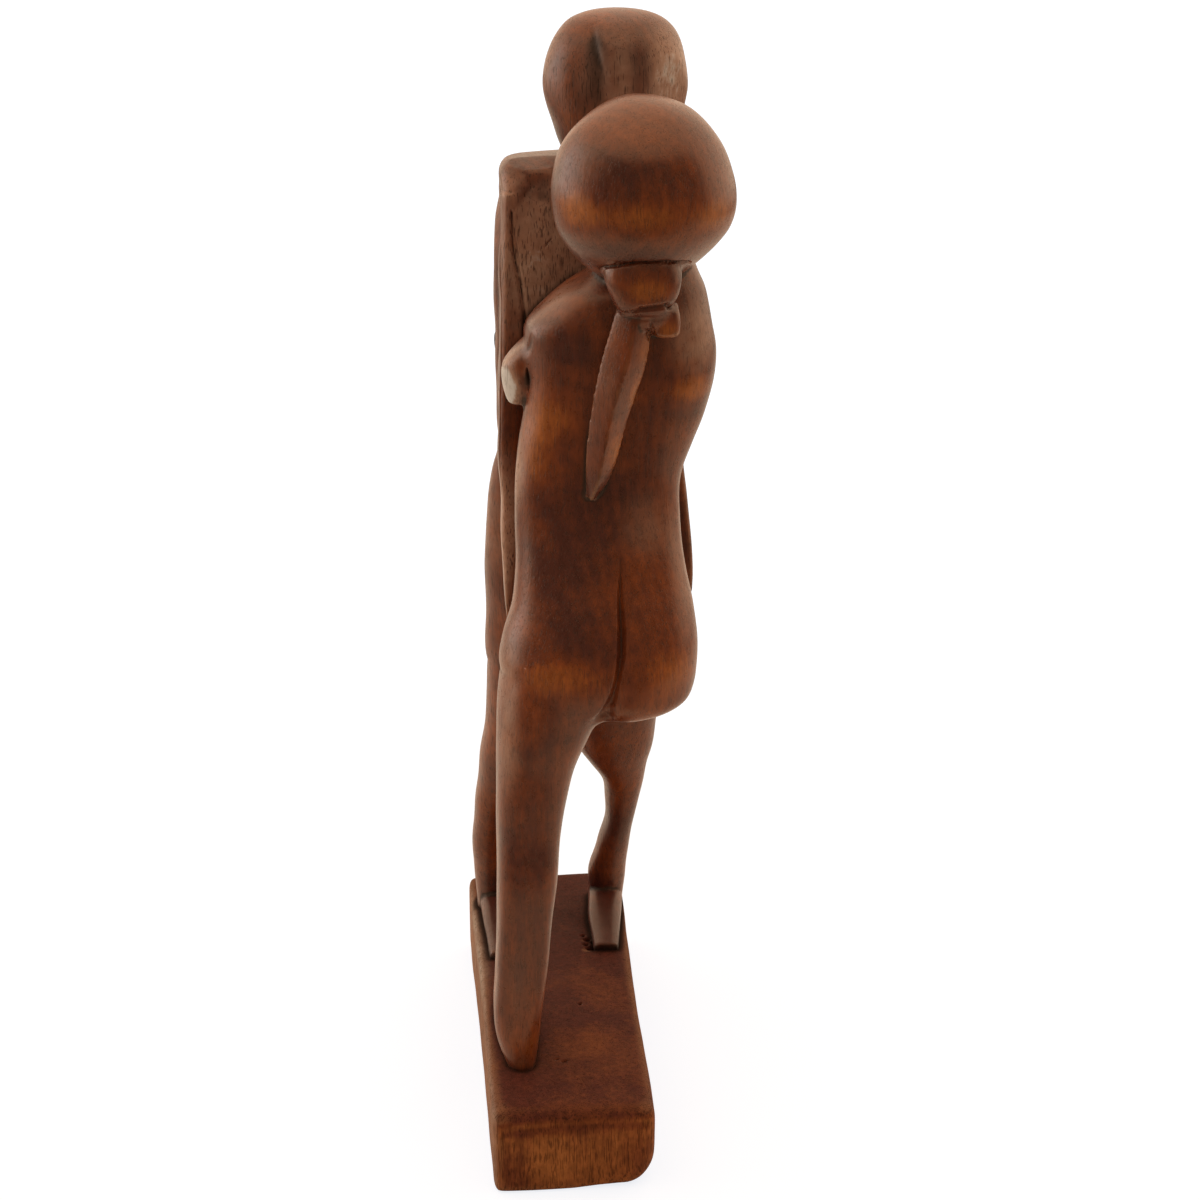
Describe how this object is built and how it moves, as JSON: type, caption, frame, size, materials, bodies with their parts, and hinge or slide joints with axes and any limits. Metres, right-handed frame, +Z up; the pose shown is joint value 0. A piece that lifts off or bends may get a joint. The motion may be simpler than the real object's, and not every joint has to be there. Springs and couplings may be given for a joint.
{
  "type": "carved wooden figure group",
  "caption": "Slender abstract couple in an embrace, carved in the round with its long narrow base from one block of reddish hardwood; it stands on the flat underside.",
  "frame": {"origin": "middle of the base's flat underside", "axes": "+Z up, Y along the long narrow base with the far figure at +Y, X across the base"},
  "size_m": [0.0929, 0.205, 0.408],
  "materials": {
    "hardwood": "hand-carved and oiled, satin"
  },
  "bodies": {
    "root": {"carved_couple": "hardwood"}
  },
  "joints": []
}
